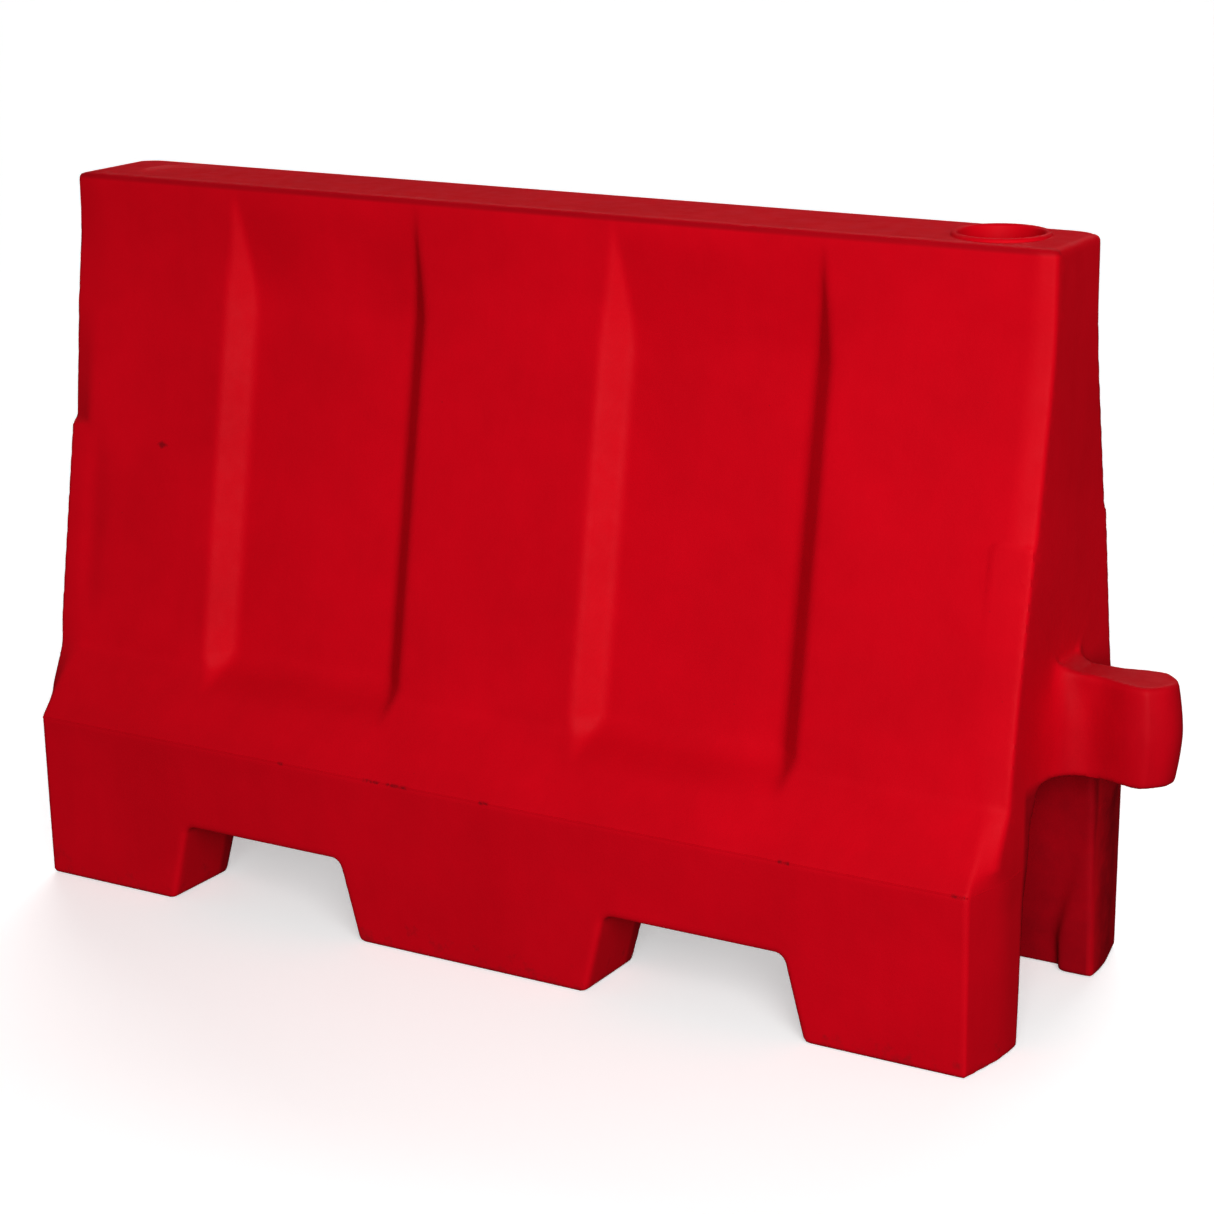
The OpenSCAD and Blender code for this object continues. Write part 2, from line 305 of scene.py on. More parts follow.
def corner_pad(x, z):
    """Height of the raised pad on the lug's corners, less the valley beside the socket's end"""
    across = np.maximum(PAD_X + PAD_ROUND - np.abs(x), 0)
    above = np.maximum(z - STEP_Z + PAD_ROUND, 0)
    pad = PAD_RISE * smooth((PAD_ROUND - np.hypot(across, above)) / PAD_EDGE)
    valley = VALLEY_DEPTH * np.exp(-((x - VALLEY_X) / VALLEY_W) ** 2)
    return np.where(x > 0, pad * np.interp(z, *PAD_FADE), -valley * np.interp(z, *VALLEY_FADE))


def corner_cut(x, side, z):
    """The chamfer on the upright corners: wide on the plinth, narrow above the shoulder"""
    depth = np.where(x > 0, np.interp(z, *LUG_CORNER), np.interp(z, *SOCKET_CORNER))
    crest = np.interp(z, *CREST)
    length = end_distance(x, z) - crest
    past = (np.abs(x) - crest) * depth + (side - half_width(z)) * length
    return past / np.hypot(depth, length)


def shell_block(x, side, z):
    """The block: section, end faces, chamfered corners, top and underside"""
    wide = outline_field(SECTION, side, z) - corner_pad(x, z)
    block = soft_max(wide, corner_cut(x, side, z), 0.003)
    block = soft_max(block, np.abs(x) - end_distance(x, z), 0.005)
    droop = DROOP * np.clip((np.abs(x) - DROOP_X) / (HALF_L - DROOP_X), 0, 1) ** 2
    block = soft_max(block, z - TOP + droop, 0.008)
    return soft_max(block, -z, 0.006)


def panel(x, side, z, centre):
    """The recess between two upright crests, with a ramp above and below"""
    depth = half_width(z) - side
    share = depth / PANEL_DEPTH
    lean = np.interp(
        z, [PANEL_FOOT, PANEL_LOW, PANEL_TOP - PANEL_RAMP, PANEL_TOP],
        [PANEL_SLOPE / 2, 0, 0, PANEL_SLOPE / 2],
    )
    across = np.abs(x - centre)
    slope = math.hypot(PANEL_DEPTH, PANEL_SLOPE)
    sides = (across - (PANEL_HALF_L - lean) + share * PANEL_SLOPE) * PANEL_DEPTH / slope
    above = z - (PANEL_TOP - share * PANEL_RAMP)
    below = (PANEL_FOOT + share * (PANEL_LOW - PANEL_FOOT)) - z
    above = above * PANEL_DEPTH / math.hypot(PANEL_DEPTH, PANEL_RAMP)
    below = below * PANEL_DEPTH / math.hypot(PANEL_DEPTH, PANEL_LOW - PANEL_FOOT)
    hole = soft_max(depth - PANEL_DEPTH, sides, 0.006)
    hole = soft_max(hole, above, 0.004)
    return soft_max(hole, below, 0.006)


def tunnel(x, side, z):
    """The tunnel, with a hollow in the inner face of each end foot"""
    bore = outline_field(TUNNEL, side, z)
    mouth = np.interp(z, *HOLLOW_MOUTH)
    hollow = side - TUNNEL_HALF_W - HOLLOW_DEPTH + HOLLOW_LEAN * z
    hollow = soft_max(hollow, np.abs(x) - mouth, 0.014)
    hollow = soft_max(hollow, HOLLOW_X - np.abs(x), 0.014)
    return soft_min(bore, hollow, 0.012)


def lug(x, y, z):
    """The barrelled knuckle, its neck and the flare that spreads into the end face"""
    side = np.abs(y)
    reach = x - HALF_L
    middle = (LUG_LOW + LUG_HIGH) / 2
    narrow = BARREL * np.clip(np.abs(z - middle) / (LUG_HIGH - middle), 0, 1.2) ** 1.6
    knuckle = np.hypot(reach - LUG_REACH, y) - (KNUCKLE_R - narrow)
    neck = soft_max(side - NECK_HALF_W, reach - LUG_REACH, 0.004)
    arm = soft_min(neck, knuckle, 0.034)
    over = LUG_HIGH + LUG_RISE * np.clip((LUG_REACH - reach) / LUG_REACH, 0, 1)
    arm = soft_max(arm, z - over, 0.007)
    # The flare's surface is a power of the distance from its edge, and fades out towards its top
    width = FLARE_HALF_W - NECK_HALF_W
    spread = np.clip((FLARE_HALF_W - side) / width, 0, 1.1)
    out = FLARE_OUT * smooth((FLARE_TOP - z) / (FLARE_TOP - FLARE_FULL))
    steep = FLARE_POWER * out * spread ** (FLARE_POWER - 1) / width
    flare = (reach + 0.004 - out * spread ** FLARE_POWER) / np.sqrt(1 + steep * steep)
    over = LUG_HIGH + LUG_RISE + 1.2 * np.clip(side - 0.026, 0, 1)
    flare = soft_max(flare, z - over, 0.008)
    arm = soft_min(arm, flare, 0.030)
    arm = soft_max(arm, LUG_LOW - z, 0.006)
    arm = soft_max(arm, side - half_width(z) + 0.009, 0.006)
    return soft_max(arm, -reach - 0.05, 0.006)


def socket(x, y, z):
    """The keyhole for the lug of the next barrier, open to the tunnel and to the end face"""
    across = x - (SOCKET_X - MIDDLE)
    bore = np.hypot(across, y) - SOCKET_R
    slot = soft_max(np.abs(y) - SLOT_HALF_W, across, 0.004)
    plan = soft_min(bore, slot, 0.012)
    return soft_max(soft_max(plan, z - SOCKET_TOP, 0.010), TUNNEL_H - 0.03 - z, 0.004)


def outside_field(x, y, z):
    """The outside of the moulded body without its filling well: x from its middle"""
    side = np.abs(y)
    body = shell_block(x, side, z)
    for centre in PANEL_XS:
        body = cut(body, panel(x, side, z, centre), 0.005)
    body = cut(body, outline_field(FORK, np.abs(np.abs(x) - FORK_X), z), 0.009)
    body = cut(body, tunnel(x, side, z), 0.008)
    body = soft_min(body, lug(x, y, z), 0.006)
    body = cut(body, socket(x, y, z), 0.007)
    dish = np.hypot(x - DISH_X, y) - DISH_R - (z - TOP)
    return cut(body, soft_max(dish, TOP - DISH_DEPTH - z, 0.004), 0.003)


def cavity_field(x, y, z):
    """The inside of the wall, which also passes below the well and behind the drain's pocket"""
    well = np.hypot(x - (WELL.x - MIDDLE), y) - WELL_R
    well = soft_max(well, WELL_FLOOR - z, 0.006)
    pocket = np.hypot(x - (DRAIN.x - MIDDLE), z - DRAIN.z) - POCKET_R
    pocket = soft_max(pocket, POCKET_Y - y, 0.006)
    return cut(cut(outside_field(x, y, z), well, 0.004), pocket, 0.004) + WALL


# ---------------------------------------------------------------- mesh from the field
def surface_net(field, low, step):
    """Quads along the zero level of a field sampled on a regular grid"""
    cell_shape = tuple(n - 1 for n in field.shape)
    inside = field < 0
    sums = [np.zeros(int(np.prod(cell_shape))) for _ in range(3)]
    hits = np.zeros(int(np.prod(cell_shape)))
    crossings = []
    for axis in range(3):
        near = [slice(None)] * 3
        far = [slice(None)] * 3
        near[axis] = slice(0, -1)
        far[axis] = slice(1, None)
        at = np.argwhere(inside[tuple(near)] != inside[tuple(far)])
        ahead = at.copy()
        ahead[:, axis] += 1
        a = field[tuple(at.T)]
        b = field[tuple(ahead.T)]
        spot = at.astype(float)
        spot[:, axis] += a / (a - b)
        u, v = (axis + 1) % 3, (axis + 2) % 3
        ring = []
        for du, dv in ((-1, -1), (0, -1), (0, 0), (-1, 0)):
            cell = at.copy()
            cell[:, u] += du
            cell[:, v] += dv
            index = np.ravel_multi_index(tuple(cell.T), cell_shape, mode="clip")
            for k in range(3):
                sums[k] += np.bincount(index, spot[:, k], len(hits))
            hits += np.bincount(index, minlength=len(hits))
            ring.append(index)
        quads = np.stack(ring, 1)
        outward = a < 0
        quads[~outward] = quads[~outward][:, ::-1]
        crossings.append(quads)
    used = np.flatnonzero(hits)
    number = np.full(len(hits), -1)
    number[used] = np.arange(len(used))
    points = np.stack([sums[k][used] / hits[used] for k in range(3)], 1) * step + low
    return points, number[np.concatenate(crossings)]


def settle(points, field, rounds=3):
    """Moves points along the field's gradient until they lie on its zero level"""
    reach = 0.0005
    for _ in range(rounds):
        x, y, z = points.T
        value = field(x, y, z)
        slope = np.stack([
            field(x + reach, y, z) - field(x - reach, y, z),
            field(x, y + reach, z) - field(x, y - reach, z),
            field(x, y, z + reach) - field(x, y, z - reach),
        ], 1) / (2 * reach)
        size = np.maximum((slope ** 2).sum(1), 0.25)
        move = slope * (value / size)[:, None]
        far = np.maximum(np.linalg.norm(move, axis=1) / GRID, 1)
        points = points - move / far[:, None]
    return points


def mesh_object(name, points, faces):
    """A new object from points and faces"""
    mesh = bpy.data.meshes.new(name)
    mesh.from_pydata(np.asarray(points).tolist(), [], np.asarray(faces).tolist())
    mesh.validate()
    piece = bpy.data.objects.new(name, mesh)
    bpy.context.scene.collection.objects.link(piece)
    return piece


def apply_modifiers(piece):
    """Replaces the piece's mesh by its mesh with every modifier applied"""
    bpy.context.view_layer.update()
    shaped = piece.evaluated_get(bpy.context.evaluated_depsgraph_get())
    mesh = bpy.data.meshes.new_from_object(shaped)
    piece.modifiers.clear()
    old = piece.data
    piece.data = mesh
    bpy.data.meshes.remove(old)


def thin_out(piece, faces):
    """Removes triangles from the flat stretches"""
    triangles = 2 * len(piece.data.polygons)
    if triangles > faces:
        modifier = piece.modifiers.new("thin", "DECIMATE")
        modifier.ratio = faces / triangles
        apply_modifiers(piece)


def boolean(piece, tool, operation):
    """Cuts the tool from the piece, or adds it, and removes the tool"""
    modifier = piece.modifiers.new("solid", "BOOLEAN")
    modifier.operation = operation
    modifier.solver = "MANIFOLD"
    modifier.object = tool
    apply_modifiers(piece)
    bpy.data.objects.remove(tool)


def keep(form, name):
    """A new object from a bmesh, which is freed"""
    mesh = bpy.data.meshes.new(name)
    form.to_mesh(mesh)
    form.free()
    piece = bpy.data.objects.new(name, mesh)
    bpy.context.scene.collection.objects.link(piece)
    return piece


def join(name, parts):
    """One object from several, with the mesh of each kept as it is"""
    whole = bmesh.new()
    for part in parts:
        whole.from_mesh(part.data)
        bpy.data.objects.remove(part)
    return keep(whole, name)


def skin(name, field, step, faces, flip=False):
    """The field's zero level as a mesh, thinned to a number of faces"""
    margin = 4 * step
    axes = [
        np.arange(-HALF_L - STEP_DEPTH - margin, HALF_L + LUG_REACH + KNUCKLE_R + margin, step),
        np.arange(-HALF_W - margin, HALF_W + margin, step),
        np.arange(-margin, TOP + margin, step),
    ]
    x, y, z = np.meshgrid(*axes, indexing="ij", sparse=True)
    points, quads = surface_net(field(x, y, z), np.array([axis[0] for axis in axes]), step)
    if flip:
        quads = quads[:, ::-1]
    piece = mesh_object(name, settle(points, field) + [MIDDLE, 0, 0], quads)
    thin_out(piece, faces)
    return piece


# ---------------------------------------------------------------- turned forms
def turned(name, profile, segments=128, shape=None):
    """Closed form from (radius, height) points. shape(height, angles) gives what is added to a
    point's radius where the point has a third value that is true."""
    angles = np.arange(segments) * 2 * math.pi / segments
    form = bmesh.new()
    rings = []
    for point in profile:
        r, z = point[:2]
        if r == 0:
            rings.append([form.verts.new((0, 0, z))] * segments)
            continue
        sizes = np.full(segments, float(r))
        if len(point) > 2:
            sizes = sizes + shape(z, angles)
        rings.append([
            form.verts.new((size * math.cos(a), size * math.sin(a), z))
            for size, a in zip(sizes, angles)
        ])
    for low, high in zip(rings, rings[1:] + rings[:1]):
        if low[0] is low[1] and high[0] is high[1]:
            continue
        for i in range(segments):
            j = (i + 1) % segments
            corners = [low[i], low[j], high[j], high[i]]
            form.faces.new(list(dict.fromkeys(corners)))
    bmesh.ops.recalc_face_normals(form, faces=form.faces)
    return keep(form, name)


def place(piece, where, axis="Z"):
    """Moves a form drawn along +Z to its place. Axis Y turns it to point along +Y."""
    turn = Matrix.Rotation(math.radians(-90), 4, "X") if axis == "Y" else Matrix.Identity(4)
    piece.data.transform(Matrix.Translation(where) @ turn)
    return piece


def thread(pitch, depth, low, high):
    """Height of a screw thread over its root, which fades out at both ends"""
    def height(z, angles):
        phase = (z / pitch - angles / (2 * math.pi)) % 1
        fade = np.clip(min(z - low, high - z) / (0.4 * pitch), 0, 1)
        return depth * fade * np.interp(phase, [0, 0.2, 0.36, 0.64, 0.8, 1], [0, 0, 1, 1, 0, 0])
    return height


def knurl(count, depth):
    """Depth of the round notches in a rim"""
    return lambda z, angles: -depth * np.clip(np.cos(count * angles), 0, 1) ** 2


def cross_grip(name, reach, width, low, high):
    """Two crossed bars with rounded edges, to turn a closure by"""
    half = width / 2
    arm = [(reach, -half), (reach, half), (half, half)]
    outline = []
    for quarter in range(4):
        c, s = round(math.cos(quarter * math.pi / 2)), round(math.sin(quarter * math.pi / 2))
        outline += [(c * x - s * y, s * x + c * y) for x, y in arm]
    form = bmesh.new()
    base = form.faces.new([form.verts.new((x, y, low)) for x, y in outline])
    raised = bmesh.ops.extrude_face_region(form, geom=[base])["geom"]
    for vert in (v for v in raised if isinstance(v, bmesh.types.BMVert)):
        vert.co.z = high
    bmesh.ops.recalc_face_normals(form, faces=form.faces)
    bmesh.ops.bevel(
        form, geom=list(form.edges), offset=width * 0.16, segments=4, profile=0.5,
        affect="EDGES",
    )
    return keep(form, name)


def span(low, high, count):
    """Evenly spaced values from one to another"""
    return [low + (high - low) * k / (count - 1) for k in range(count)]


def threaded_ring(name, bore_r, tube_r, flange_r, low, pitch, depth):
    """A flanged ring with a thread in its bore. The flange stands on height 0."""
    ease = 0.0008
    profile = [(bore_r + ease, low), (tube_r - ease, low), (tube_r, low + ease), (tube_r, 0)]
    profile += [(flange_r - ease, 0), (flange_r, ease), (flange_r, FLANGE - 2 * ease)]
    profile += [(flange_r - 2 * ease, FLANGE), (bore_r + 2 * ease, FLANGE)]
    rows = round((FLANGE - 2 * ease - low) / pitch * 10)
    profile += [(bore_r, z, True) for z in span(FLANGE - 2 * ease, low + ease, rows)]
    return turned(name, profile, 192, thread(pitch, depth, low, FLANGE))


def screw_closure(name, skirt_r, wall, flange_r, thick, low, grip_high, grip_w, pitch, depth):
    """A hollow screw with a notched flange on height 0 and a cross grip"""
    ease = 0.0012
    notches = knurl(24, 0.0011 * flange_r / 0.047)
    ridge = thread(pitch, depth, low, 0)
    root = skirt_r - depth
    rows = round(-low / pitch * 10)

    def shape(z, angles):
        return notches(z, angles) if z > 0 else ridge(z, angles)

    profile = [(0, thick - wall), (root - wall + depth, thick - wall), (root - wall + depth, low)]
    profile += [(root - 0.0006, low)]
    profile += [(root, z, True) for z in span(low + 0.0006, -0.0002, rows)]
    profile += [(flange_r - ease, 0), (flange_r, ease / 2, True)]
    profile += [(flange_r, z, True) for z in span(ease, thick - 2 * ease, 4)]
    profile += [(flange_r - 0.6 * ease, thick - 0.7 * ease, True), (flange_r - 2 * ease, thick)]
    profile += [(flange_r * 0.86, thick), (flange_r * 0.84, thick - 0.0007)]
    profile += [(flange_r * 0.80, thick - 0.0007), (flange_r * 0.78, thick), (0, thick)]
    piece = turned(name, profile, 192, shape)
    grip = cross_grip("grip", flange_r * 0.76, grip_w, thick - 0.002, grip_high)
    boolean(piece, grip, "UNION")
    return piece


def seal_ring(name, inner_r, outer_r, thick):
    """A flat gasket with rounded edges"""
    ease = thick * 0.25
    return turned(name, [
        (inner_r, ease), (inner_r + ease, 0), (outer_r - ease, 0), (outer_r, ease),
        (outer_r, thick - ease), (outer_r - ease, thick), (inner_r + ease, thick),
        (inner_r, thick - ease),
    ])


# ---------------------------------------------------------------- the moulded body
def well_tool():
    """What the filling well removes, down through the hole for the neck"""
    neck_r = (neck_high.x - neck_low.x) / 2 - NECK_FLANGE_OUT
    depth = TOP - WELL_FLOOR
    round_r = 0.004
    low_r = WELL_R - WELL_TAPER
    profile = [(0, -depth - 3 * WALL), (neck_r, -depth - 3 * WALL), (neck_r, -depth)]
    profile += [
        (low_r - round_r * (1 - math.sin(a)), -depth + round_r * (1 - math.cos(a)))
        for a in span(0, math.pi / 2, 6)
    ]
    profile += [(WELL_R - 0.0006, -LIP_RISE), (WELL_R, 0)]
    profile += [
        (WELL_R + LIP_RISE * (1 - math.cos(a)), LIP_RISE * math.sin(a) * 0.96)
        for a in span(0.3, 1.0, 4)
    ]
    profile += [(WELL_R + 1.5 * LIP_RISE, 1.5 * LIP_RISE), (WELL_R + LIP_RISE, LIP_RISE + 0.02)]
    profile += [(0, LIP_RISE + 0.02)]
    return place(turned("well_tool", profile), (WELL.x, 0, TOP))


def lip():
    """The rolled lip around the well"""
    outer = WELL_R + LIP_BEAD
    profile = [(WELL_R - 0.006, -0.006), (outer + 0.001, -0.006), (outer + 0.001, -0.0004)]
    profile += [
        (outer - LIP_RISE * (1 - math.cos(a)), LIP_RISE * math.sin(a))
        for a in span(0.1, math.pi / 2, 8)
    ]
    profile += [(WELL_R - 0.006, LIP_RISE)]
    return place(turned("lip", profile), (WELL.x, 0, TOP))


def pocket_tool():
    """What the drain's pocket removes, down through the hole for the bush"""
    bush_r = (bush_high.x - bush_low.x) / 2 - BUSH_FLANGE_OUT
    depth = HALF_W - POCKET_Y
    profile = [(0, -3 * WALL), (bush_r, -3 * WALL), (bush_r, 0), (POCKET_R - 0.006, 0)]
    profile += [
        (POCKET_R - 0.006 + 0.004 * math.sin(a), 0.004 * (1 - math.cos(a)))
        for a in span(0.2, math.pi / 2, 5)
    ]
    profile += [(POCKET_R - 0.001, depth - 0.006), (POCKET_R + 0.0005, depth - 0.0025)]
    profile += [(POCKET_R + 0.004, depth + 0.002), (POCKET_R + 0.004, depth + 0.02)]
    profile += [(0, depth + 0.02)]
    return place(turned("pocket_tool", profile), (DRAIN.x, POCKET_Y, DRAIN.z), "Y")


def parting_bead():
    """The thin line that the mould leaves around the plinth, between the tunnel's mouths"""
    mouth = TUNNEL_HALF_W + 0.006
    chamfer = HALF_W - CORNER_DEPTHS[1]
    corners = [
        (-HALF_L, mouth), (-HALF_L, chamfer), (-CREST_X, HALF_W),
        (CREST_X, HALF_W), (HALF_L, chamfer), (HALF_L, mouth),
    ]
    path = []
    for (x0, y0), (x1, y1) in zip(corners, corners[1:]):
        count = max(4, round(math.hypot(x1 - x0, y1 - y0) / 0.012))
        path += [(x0 + (x1 - x0) * k / count, y0 + (y1 - y0) * k / count) for k in range(count)]
    path = np.array(path + [corners[-1]])
    points = np.column_stack([path, np.full(len(path), BEAD_Z)])
    points = settle(points, outside_field)
    ahead = np.gradient(points[:, :2], axis=0)
    ahead /= np.linalg.norm(ahead, axis=1)[:, None]
    outward = np.column_stack([-ahead[:, 1], ahead[:, 0]])
    # How far each point of the bead's profile lies out of the face, and above its middle
    profile = [
        (-0.0020, -0.0016), (0.0001, -0.0012), (BEAD_OUT, 0), (0.0001, 0.0012), (-0.0020, 0.0016),
    ]
    form = bmesh.new()
    for mirror in (1, -1):
        rings = []
        for point, out in zip(points, outward):
            rings.append([
                form.verts.new((
                    point[0] + out[0] * reach + MIDDLE, mirror * (point[1] + out[1] * reach),
                    point[2] + rise,
                ))
                for reach, rise in profile
            ])
        for low, high in zip(rings, rings[1:]):
            for i in range(len(profile)):
                j = (i + 1) % len(profile)
                form.faces.new([low[i], low[j], high[j], high[i]])
        form.faces.new(rings[0])
        form.faces.new(rings[-1])
    bmesh.ops.recalc_face_normals(form, faces=form.faces)
    return keep(form, "parting_bead")


def moulded_body():
    """The outside and the cavity of the body, as one hollow mesh with its openings"""
    outside = skin("outside", outside_field, GRID, OUTER_FACES)
    boolean(outside, lip(), "UNION")
    inside = skin("inside", cavity_field, 2 * GRID, INNER_FACES, flip=True)
    body = join("moulded_body", [outside, inside])
    boolean(body, well_tool(), "DIFFERENCE")
    boolean(body, pocket_tool(), "DIFFERENCE")
    return body


# ---------------------------------------------------------------- materials
SHELL_LIGHT = (0.62, 0.0006, 0.0075)
SHELL_DARK = (0.52, 0.0004, 0.0058)
FITTING_LIGHT = (0.68, 0.0016, 0.010)
FITTING_DARK = (0.60, 0.0010, 0.008)
RUBBER_DARK = (0.018, 0.018, 0.019)
RUBBER_LIGHT = (0.034, 0.033, 0.034)
SPLASH_COLOUR = (0.09, 0.006, 0.008)
# Painted shade for the walls of the tunnel
TUNNEL_SHADE_COLOUR = (0.23, 0.0008, 0.0045)
# Painted shade for the inner ends of the back feet
BACK_FEET_SHADE_COLOUR = (0.20, 0.0010, 0.0045)
# Painted shade for the plinth, also used to make the lug darker
PLINTH_SHADE_LUG_COLOUR = (0.36, 0.0006, 0.0050)
SCUFF_COLOUR = (0.045, 0.004, 0.006)
KNOCK_COLOUR = (0.05, 0.003, 0.005)
# Painted shade for the line below the front's upper edge
EDGE_SHADE_COLOUR = (0.16, 0.001, 0.004)
SPECK_COLOUR = (0.10, 0.004, 0.006)
PLASTIC_IOR = 1.22
SHEEN_TINT = (1.0, 0.35, 0.38, 1)
SMOOTH_ANGLE = math.radians(48)


def noise(tree, where, scale, detail=3, rough=0.55, stretch=(1, 1, 1)):
    """Noise in the object's own coordinates, stretched along its axes"""
    mapping = tree.nodes.new("ShaderNodeMapping")
    mapping.inputs["Scale"].default_value = stretch
    tree.links.new(where, mapping.inputs["Vector"])
    node = tree.nodes.new("ShaderNodeTexNoise")
    node.inputs["Scale"].default_value = scale
    node.inputs["Detail"].default_value = detail
    node.inputs["Roughness"].default_value = rough
    tree.links.new(mapping.outputs[0], node.inputs["Vector"])
    return node.outputs["Fac"]


def ramp(tree, value, low, high, to_low=0, to_high=1):
    """A value mapped from one range to another, held at both ends"""
    node = tree.nodes.new("ShaderNodeMapRange")
    tree.links.new(value, node.inputs["Value"])
    names = ("From Min", "From Max", "To Min", "To Max")
    for name, size in zip(names, (low, high, to_low, to_high)):
        node.inputs[name].default_value = size
    return node.outputs[0]


def calc(tree, operation, a, b):
    """Math node on two values, each an output or a number"""
    node = tree.nodes.new("ShaderNodeMath")
    node.operation = operation
    for socket_in, value in zip(node.inputs, (a, b)):
        if isinstance(value, (int, float)):
            socket_in.default_value = value
        else:
            tree.links.new(value, socket_in)
    return node.outputs[0]


def blend_colour(tree, share, first, second):
    """Colour mixed from two, each an output or an RGB value"""
    node = tree.nodes.new("ShaderNodeMix")
    node.data_type = "RGBA"
    tree.links.new(share, node.inputs[0])
    for socket_in, value in ((node.inputs[6], first), (node.inputs[7], second)):
        if isinstance(value, tuple):
            socket_in.default_value = (*value, 1)
        else:
            tree.links.new(value, socket_in)
    return node.outputs[2]


def product(tree, first, *others):
    """Several values multiplied"""
    for value in others:
        first = calc(tree, "MULTIPLY", first, value)
    return first


def gap_to(tree, value, place):
    """Distance of a value from a place"""
    return calc(tree, "ABSOLUTE", calc(tree, "SUBTRACT", value, place), 0.0)


def add_bump(tree, height, distance, strength=1.0, under=None):
    """Bump from a height, laid over another bump if there is one"""
    node = tree.nodes.new("ShaderNodeBump")
    node.inputs["Strength"].default_value = strength
    node.inputs["Distance"].default_value = distance
    tree.links.new(height, node.inputs["Height"])
    if under is not None:
        tree.links.new(under, node.inputs["Normal"])
    return node.outputs[0]


def wear_and_painted_shade(tree, where, clouds, colour):
    """Dirt, scuffs, specks and painted shade on the body: the colour with them, and the share of
    splashed dirt
    """
    parts = tree.nodes.new("ShaderNodeSeparateXYZ")
    tree.links.new(where, parts.inputs[0])
    along, across, height = parts.outputs

    # Dirt splashed up from the road, thicker towards the floor
    splash = noise(tree, where, 42, 6, 0.72)
    low = ramp(tree, height, 0.0, 0.09, 0.12, -0.16)
    dirt = ramp(tree, calc(tree, "ADD", splash, low), 0.60, 0.85, 0, 0.5)
    colour = blend_colour(tree, dirt, colour, SPLASH_COLOUR)

    # Painted shade on the walls of the tunnel, up to the hollows in the feet
    end = gap_to(tree, along, MIDDLE)
    edge = ramp(tree, end, HALF_L - 0.016, HALF_L - 0.008, 0.022, 0)
    depth = calc(tree, "SUBTRACT", gap_to(tree, across, 0.0), edge)
    tunnel_shade = product(
        tree,
        ramp(tree, depth, TUNNEL_HALF_W - 0.004, TUNNEL_HALF_W + 0.005, 1, 0),
        ramp(tree, height, TUNNEL_H - 0.012, TUNNEL_H + 0.006, 1, 0),
        ramp(tree, noise(tree, where, 14, 5, 0.65), 0.3, 0.7, 0.62, 0.95),
    )
    colour = blend_colour(tree, tunnel_shade, colour, TUNNEL_SHADE_COLOUR)

    # Painted shade on the inner ends of the back feet, seen through the tunnel's mouths, fading
    # out towards the tunnel's roof
    back = product(
        tree,
        ramp(tree, across, 0.115, 0.150, 0, 1),
        ramp(tree, end, HALF_L - 0.030, HALF_L - 0.004, 0, 1),
        ramp(tree, height, 0.24, 0.34, 0.85, 0),
        ramp(tree, noise(tree, where, 30, 5, 0.7), 0.35, 0.6, 0.55, 1),
    )
    colour = blend_colour(tree, back, colour, BACK_FEET_SHADE_COLOUR)

    # Painted shade on the plinth, and the lug made darker
    plinth_shade_lug_dark = ramp(tree, height, PLINTH_H - 0.010, PLINTH_H + 0.030, 0.22, 0)
    ahead = calc(tree, "SUBTRACT", along, MIDDLE + HALF_L)
    plinth_shade_lug_dark = calc(tree, "MAXIMUM", plinth_shade_lug_dark, ramp(tree, ahead, 0.0015, 0.016, 0, 0.74))
    patches = ramp(tree, noise(tree, where, 22, 4, 0.6, (1, 1, 0.4)), 0.3, 0.7, 0.6, 1.0)
    colour = blend_colour(tree, product(tree, plinth_shade_lug_dark, patches), colour, PLINTH_SHADE_LUG_COLOUR)

    # Scuffs along the parting line, where barriers rub against each other
    marks = 0.0
    for centre, half in SCUFFS:
        mark = ramp(tree, gap_to(tree, along, centre + MIDDLE), 0.8 * half, half, 1, 0)
        marks = calc(tree, "MAXIMUM", mark, marks)
    line = ramp(tree, gap_to(tree, height, BEAD_Z), 0.0006, 0.0034, 1, 0)
    front = ramp(tree, across, -0.06, -0.04, 1, 0)
    chips = ramp(tree, noise(tree, where, 150, 3, 0.7), 0.36, 0.58)
    scuff = product(tree, marks, line, chips, front, 0.62)
    colour = blend_colour(tree, scuff, colour, SCUFF_COLOUR)

    # A knock on the front beside the socket's end
    near = product(tree, gap_to(tree, along, SPOT_X + MIDDLE), 0.6)
    near = calc(tree, "ADD", near, gap_to(tree, height, SPOT_Z))
    near = calc(tree, "ADD", near, ramp(tree, chips, 0, 1, 0.003, 0))
    knock = product(tree, ramp(tree, near, 0.0030, 0.0085, 0.6, 0), front)
    colour = blend_colour(tree, knock, colour, KNOCK_COLOUR)

    # Painted shade in a thin line below the front's upper edge
    edge_shade = product(
        tree,
        ramp(tree, gap_to(tree, height, TOP - 0.0045), 0.0012, 0.0052, 0.55, 0),
        ramp(tree, across, -0.060, -0.055, 1, 0),
        ramp(tree, clouds, 0.3, 0.6, 0.6, 1),
    )
    colour = blend_colour(tree, edge_shade, colour, EDGE_SHADE_COLOUR)

    # Small dark specks
    specks = ramp(tree, noise(tree, where, 130, 2, 0.5), 0.79, 0.83, 0, 0.35)
    return blend_colour(tree, specks, colour, SPECK_COLOUR), dirt


